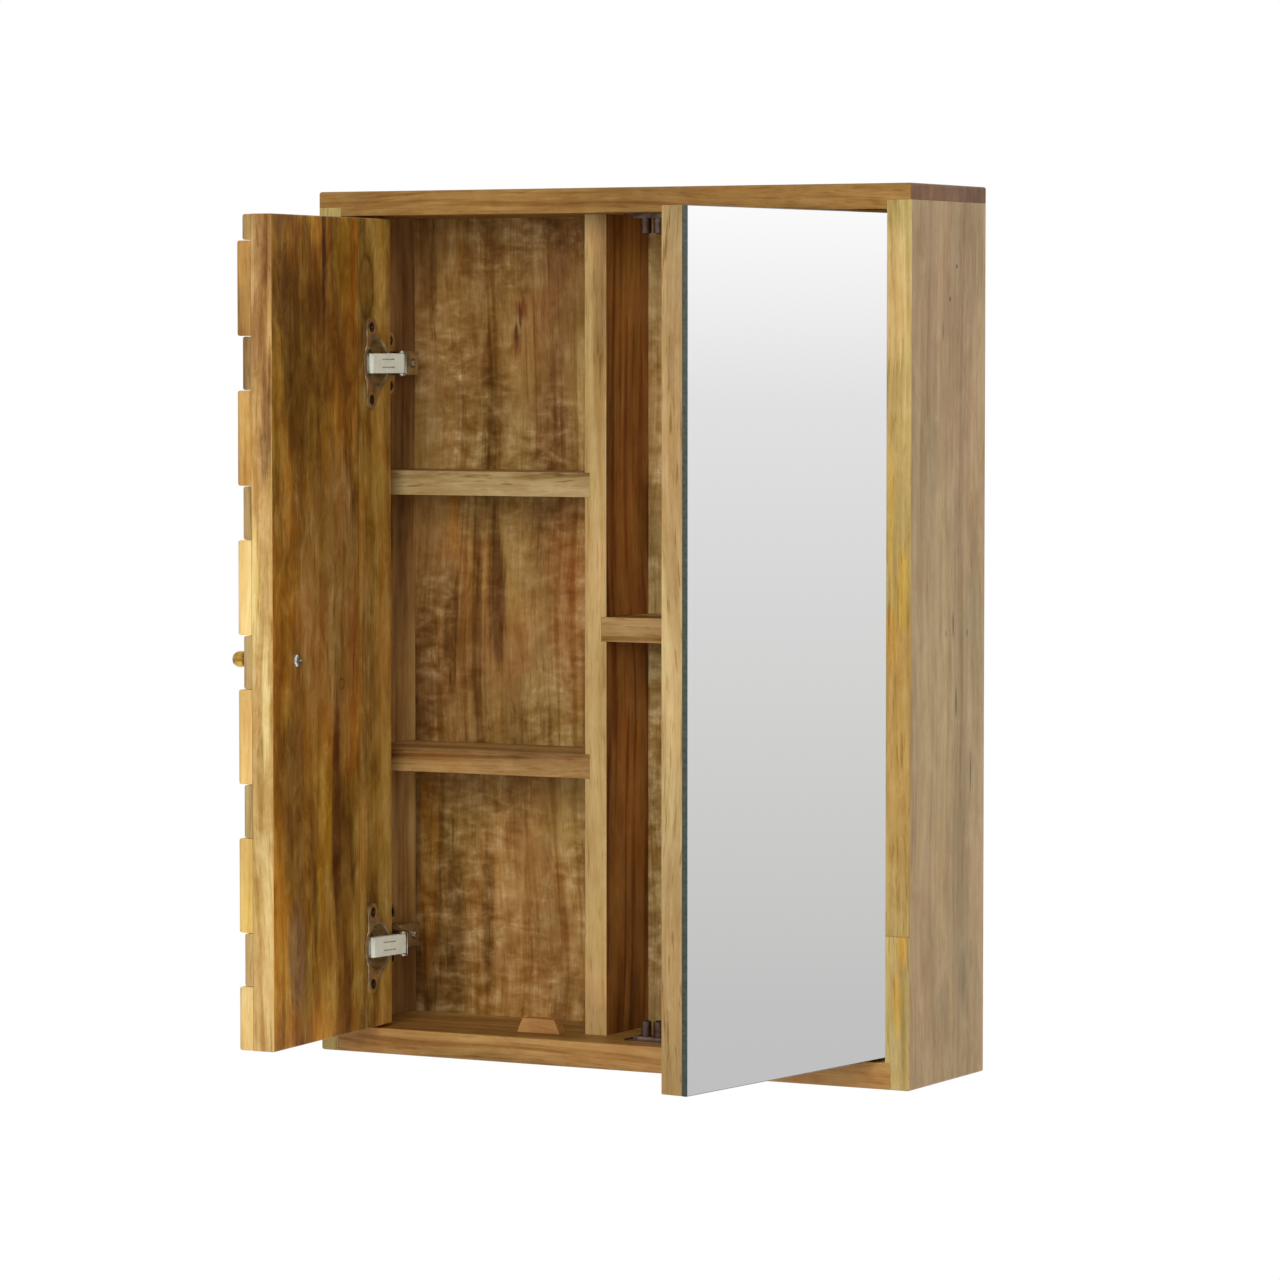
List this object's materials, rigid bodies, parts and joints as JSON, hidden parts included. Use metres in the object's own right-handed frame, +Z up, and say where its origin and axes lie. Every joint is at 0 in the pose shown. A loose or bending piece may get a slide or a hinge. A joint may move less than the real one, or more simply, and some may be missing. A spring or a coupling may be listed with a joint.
{
  "type": "mirror cabinet",
  "caption": "Wall cabinet with a carved block-relief door and a mirror door on concealed hinges, a divider, shelves and sprung roller catches.",
  "frame": {"origin": "middle of the bottom edge of the wall face, on the rear edge of the bottom panel", "axes": "+Z up, +Y towards the wall, +X to the right seen from the front; the doors stand open at rest"},
  "size_m": [0.457, 0.3352, 0.6],
  "materials": {
    "carcass_wood": "satin, warm mango wood",
    "back_wood": "satin, figured mango wood",
    "shelf_wood": "satin, mango wood",
    "door_wood": "satin, golden brown mango wood",
    "raised_block_wood": "satin, mango wood",
    "low_block_wood": "satin, darker mango wood",
    "hinge_steel": "nickel plated",
    "screw_steel": "darkened steel",
    "hanging_steel": "zinc plated",
    "catch_bronze": "bronzed",
    "knob_brass": "polished, a little dulled",
    "mirror_glass": "silvered glass"
  },
  "bodies": {
    "cabinet": {"left_side_panel": "carcass_wood", "right_side_panel": "carcass_wood", "top_panel": "carcass_wood", "bottom_panel": "carcass_wood", "back_panel": "back_wood", "center_divider": "shelf_wood", "upper_left_shelf": "shelf_wood", "lower_left_shelf": "shelf_wood", "right_shelf": "shelf_wood", "door_stop": "carcass_wood", "hanging_plates": "hanging_steel", "hanging_screws": "screw_steel", "carved_hinge_plates": "hinge_steel", "carved_plate_screws": "screw_steel", "carved_hinge_arms": "hinge_steel", "carved_arm_screws": "screw_steel", "carved_arm_rivets": "hinge_steel", "mirror_hinge_plates": "hinge_steel", "mirror_plate_screws": "screw_steel", "mirror_hinge_arms": "hinge_steel", "mirror_arm_screws": "screw_steel", "mirror_arm_rivets": "hinge_steel", "upper_catch_housing": "catch_bronze", "lower_catch_housing": "catch_bronze", "catch_screws": "screw_steel"},
    "carved_door": {"carved_door_board": "door_wood", "raised_blocks": "raised_block_wood", "low_blocks": "low_block_wood", "door_knob": "knob_brass", "knob_screw": "screw_steel", "carved_hinge_cups": "hinge_steel", "carved_cup_screws": "screw_steel", "carved_cup_pins": "hinge_steel"},
    "mirror_door": {"mirror_door_board": "door_wood", "mirror_glass": "mirror_glass", "mirror_hinge_cups": "hinge_steel", "mirror_cup_screws": "screw_steel", "mirror_cup_pins": "hinge_steel", "catch_strikes": "catch_bronze", "strike_screws": "screw_steel"},
    "carved_levers": {"carved_outer_levers": "hinge_steel", "carved_inner_levers": "hinge_steel"},
    "mirror_levers": {"mirror_outer_levers": "hinge_steel", "mirror_inner_levers": "hinge_steel"},
    "upper_left_jaw": {"upper_left_jaw": "hinge_steel"},
    "upper_left_roller": {"upper_left_roller": "catch_bronze"},
    "upper_right_jaw": {"upper_right_jaw": "hinge_steel"},
    "upper_right_roller": {"upper_right_roller": "catch_bronze"},
    "lower_left_jaw": {"lower_left_jaw": "hinge_steel"},
    "lower_left_roller": {"lower_left_roller": "catch_bronze"},
    "lower_right_jaw": {"lower_right_jaw": "hinge_steel"},
    "lower_right_roller": {"lower_right_roller": "catch_bronze"}
  },
  "joints": [
    {"name": "carved_door_swing", "type": "hinge", "parent": "cabinet", "child": "carved_door", "pos_m": [-0.1997, -0.109, 0.2755], "axis": [0, 0, 1], "range_deg": [-9.5, 85.5]},
    {"name": "mirror_door_swing", "type": "hinge", "parent": "cabinet", "child": "mirror_door", "pos_m": [0.1985, -0.1085, 0.2755], "axis": [0, 0, -1], "range_deg": [-12, 83]},
    {"name": "carved_lever_fold", "type": "hinge", "parent": "cabinet", "child": "carved_levers", "pos_m": [-0.1997, -0.109, 0.2755], "axis": [0, 0, 1], "range_deg": [-8.41, 75.29]},
    {"name": "mirror_lever_fold", "type": "hinge", "parent": "cabinet", "child": "mirror_levers", "pos_m": [0.1985, -0.1085, 0.2755], "axis": [0, 0, -1], "range_deg": [-10.61, 73.09]},
    {"name": "upper_left_jaw_slide", "type": "slide", "parent": "cabinet", "child": "upper_left_jaw", "axis": [-1, 0, 0], "range_m": [0, 0.0015], "stiffness_N_per_m": 600},
    {"name": "upper_left_roller_spin", "type": "hinge", "parent": "upper_left_jaw", "child": "upper_left_roller", "pos_m": [0.01615, -0.089, 0.5744], "axis": [0, 0, 1], "continuous": true},
    {"name": "upper_right_jaw_slide", "type": "slide", "parent": "cabinet", "child": "upper_right_jaw", "axis": [1, 0, 0], "range_m": [0, 0.0015], "stiffness_N_per_m": 600},
    {"name": "upper_right_roller_spin", "type": "hinge", "parent": "upper_right_jaw", "child": "upper_right_roller", "pos_m": [0.02585, -0.089, 0.5744], "axis": [0, 0, 1], "continuous": true},
    {"name": "lower_left_jaw_slide", "type": "slide", "parent": "cabinet", "child": "lower_left_jaw", "axis": [-1, 0, 0], "range_m": [0, 0.0015], "stiffness_N_per_m": 600},
    {"name": "lower_left_roller_spin", "type": "hinge", "parent": "lower_left_jaw", "child": "lower_left_roller", "pos_m": [0.01615, -0.089, 0.0266], "axis": [0, 0, 1], "continuous": true},
    {"name": "lower_right_jaw_slide", "type": "slide", "parent": "cabinet", "child": "lower_right_jaw", "axis": [1, 0, 0], "range_m": [0, 0.0015], "stiffness_N_per_m": 600},
    {"name": "lower_right_roller_spin", "type": "hinge", "parent": "lower_right_jaw", "child": "lower_right_roller", "pos_m": [0.02585, -0.089, 0.0266], "axis": [0, 0, 1], "continuous": true}
  ],
  "couplings": [
    {"joint": "carved_lever_fold", "follows": "carved_door_swing", "ratio": 0.88},
    {"joint": "mirror_lever_fold", "follows": "mirror_door_swing", "ratio": 0.88}
  ]
}
